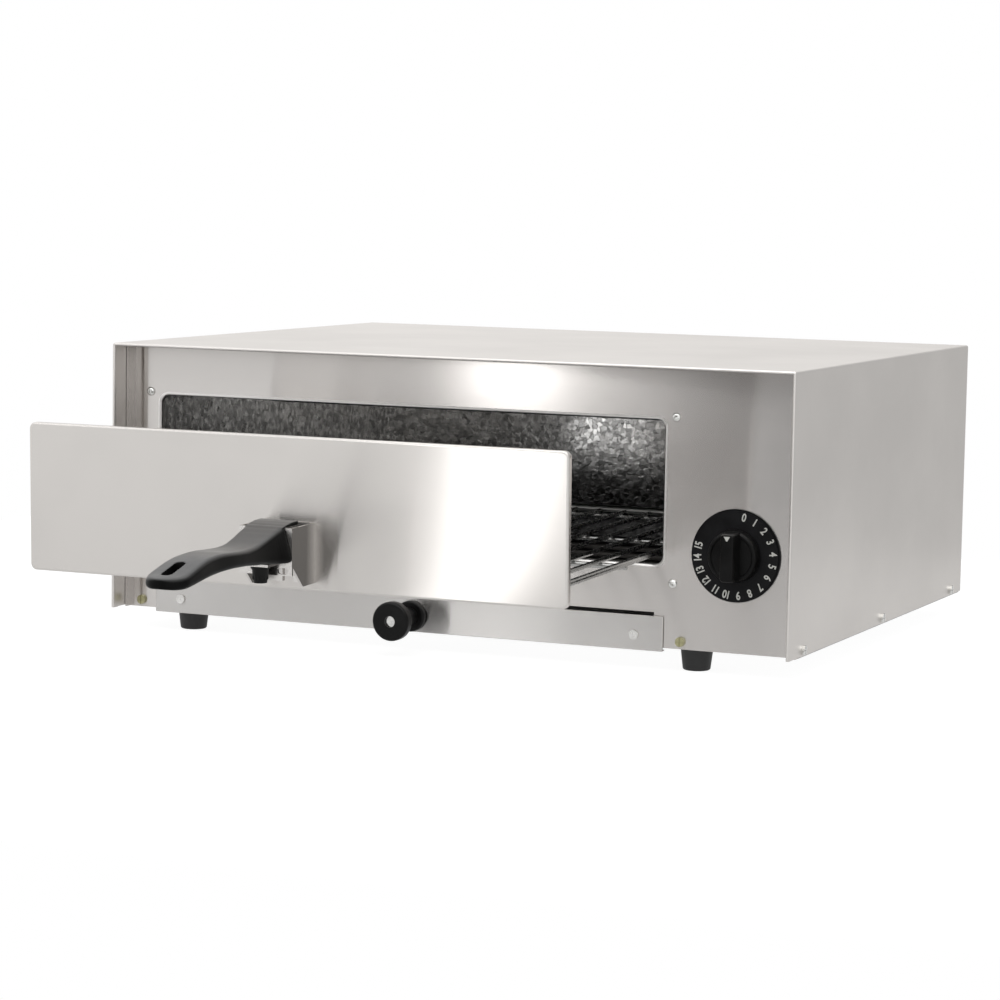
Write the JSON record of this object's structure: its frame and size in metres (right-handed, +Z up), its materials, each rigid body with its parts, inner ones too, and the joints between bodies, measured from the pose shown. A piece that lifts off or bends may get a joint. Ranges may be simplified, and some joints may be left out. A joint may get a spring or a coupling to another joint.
{
  "type": "countertop pizza oven",
  "caption": "Low steel countertop pizza oven with a pull-out wire rack behind a door with a black handle, a slide-out crumb tray under it, a round timer dial on the right and four feet.",
  "frame": {"origin": "centre of the bounding box in plan, at the level of the feet's undersides, with the drawer pulled out 153 mm as in the picture", "axes": "+X to the right seen from the front, +Y from the front to the back along the drawer's travel, +Z up"},
  "size_m": [0.4736, 0.6878, 0.19],
  "materials": {
    "cover_steel": "satin stainless sheet, fine grain along the depth",
    "panel_steel": "satin stainless sheet, fine upright grain",
    "door_steel": "satin stainless sheet with a soft upright sheen",
    "tray_steel": "satin stainless sheet",
    "tray_aluminium": "plain rolled sheet",
    "base_galvanised": "galvanised sheet",
    "liner_galvanised": "galvanised sheet with a visible spangle",
    "element_sheath": "dark heat-blued steel tube",
    "spring_steel": "plain bright steel",
    "bush_ceramic": "unglazed white ceramic",
    "terminal_brass": "plain brass",
    "foot_rubber": "moulded black rubber",
    "screw_zinc": "zinc-plated steel",
    "screw_passivated": "yellow-green passivated zinc",
    "rivet_steel": "plain bright steel",
    "dial_plastic": "black with plain white minute figures",
    "case_plastic": "tan moulded phenolic",
    "thermostat_metal": "drawn aluminium cap",
    "block_ceramic": "glazed white ceramic",
    "lead_insulation": "red-brown silicone insulation",
    "gland_plastic": "black nylon",
    "rod_steel": "bright drawn bar",
    "rack_wire": "nickel-plated wire",
    "bracket_steel": "bent stainless strip",
    "handle_plastic": "black phenolic with a low sheen",
    "nut_plastic": "black ribbed plastic",
    "tray_knob_plastic": "black phenolic",
    "shaft_brass": "turned brass",
    "knob_plastic": "black phenolic"
  },
  "bodies": {
    "housing": {"outer_cover": "cover_steel", "base_plate": "base_galvanised", "back_panel": "base_galvanised", "front_panel": "panel_steel", "cavity_left_wall": "liner_galvanised", "cavity_right_wall": "liner_galvanised", "cavity_roof": "liner_galvanised", "cavity_back_wall": "liner_galvanised", "control_heat_shield": "base_galvanised", "tray_rail_left": "base_galvanised", "tray_rail_right": "base_galvanised", "upper_element": "element_sheath", "lower_element": "element_sheath", "upper_element_clips": "spring_steel", "element_rest_bars": "spring_steel", "element_bushes": "bush_ceramic", "element_terminals": "terminal_brass", "foot_front_left": "foot_rubber", "foot_front_right": "foot_rubber", "foot_rear_left": "foot_rubber", "foot_rear_right": "foot_rubber", "foot_screws": "screw_zinc", "liner_screws": "screw_zinc", "base_front_screws": "screw_passivated", "cover_side_screws": "screw_zinc", "back_panel_screws": "screw_zinc", "timer_dial_plate": "dial_plastic", "timer_case": "case_plastic", "timer_screws": "screw_zinc", "limit_thermostat": "thermostat_metal", "terminal_block": "block_ceramic", "internal_leads": "lead_insulation", "cord_gland": "gland_plastic", "gland_nut": "gland_plastic"},
    "rack_glide": {"rack_guide_rod": "rod_steel"},
    "drawer": {"wire_rack": "rack_wire", "rack_clips": "spring_steel", "clip_rivets": "rivet_steel", "door_panel": "door_steel", "handle_bracket": "bracket_steel", "bracket_rivets": "rivet_steel", "handle": "handle_plastic", "handle_bolt": "screw_zinc", "handle_nut": "nut_plastic"},
    "tray": {"crumb_tray": "tray_aluminium", "tray_front": "tray_steel", "tray_rivets": "rivet_steel", "tray_knob": "tray_knob_plastic", "tray_knob_screw": "screw_zinc"},
    "timer": {"timer_shaft": "shaft_brass", "timer_knob": "knob_plastic"}
  },
  "joints": [
    {"name": "drawer_slide", "type": "slide", "parent": "housing", "child": "rack_glide", "axis": [0, -1, 0], "range_m": [-0.153, 0.1]},
    {"name": "drawer_tilt", "type": "hinge", "parent": "rack_glide", "child": "drawer", "pos_m": [-0.0333, 0.16285, 0.0767], "axis": [1, 0, 0], "range_deg": [-1.47, 0.97]},
    {"name": "tray_slide", "type": "slide", "parent": "housing", "child": "tray", "axis": [0, -1, 0], "range_m": [0, 0.25]},
    {"name": "timer_turn", "type": "hinge", "parent": "housing", "child": "timer", "pos_m": [0.1925, -0.03115, 0.0745], "axis": [0, 1, 0], "range_deg": [0, 282]}
  ],
  "couplings": [
    {"joint": "drawer_tilt", "follows": "drawer_slide", "rad_per_m": 0.16655}
  ]
}
